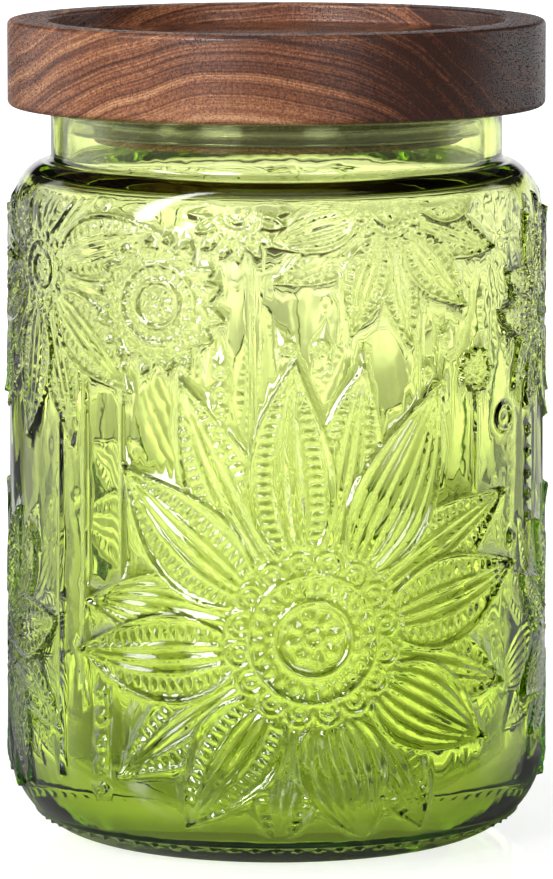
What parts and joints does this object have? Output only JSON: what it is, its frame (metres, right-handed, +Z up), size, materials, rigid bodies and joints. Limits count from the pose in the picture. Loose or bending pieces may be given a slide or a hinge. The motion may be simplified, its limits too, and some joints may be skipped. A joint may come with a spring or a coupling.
{
  "type": "apothecary jar",
  "caption": "Round moulded green glass storage jar with a narrow neck, closed by a flat turned wooden lid whose plug carries a lipped silicone seal",
  "frame": {"origin": "centre of the foot, on the surface the jar stands on", "axes": "+Z up along the axis of the jar and its lid; +X to the right and -Y towards the viewer, as in the front view"},
  "size_m": [0.1008, 0.1008, 0.1525],
  "materials": {
    "green_glass": "pressed glass, fire polished, tinted lime green, floral relief outside and plain inside",
    "oiled_wood": "turned acacia-like hardwood with open pores, oiled, eased edges",
    "clear_silicone": "translucent soft silicone, satin"
  },
  "bodies": {
    "jar": {"glass_jar": "green_glass"},
    "lid": {"wood_lid": "oiled_wood", "seal_ring": "clear_silicone"}
  },
  "joints": [
    {"name": "lid_lift", "type": "slide", "parent": "jar", "child": "lid", "axis": [0, 0, 1], "range_m": [0, 0.06]}
  ]
}
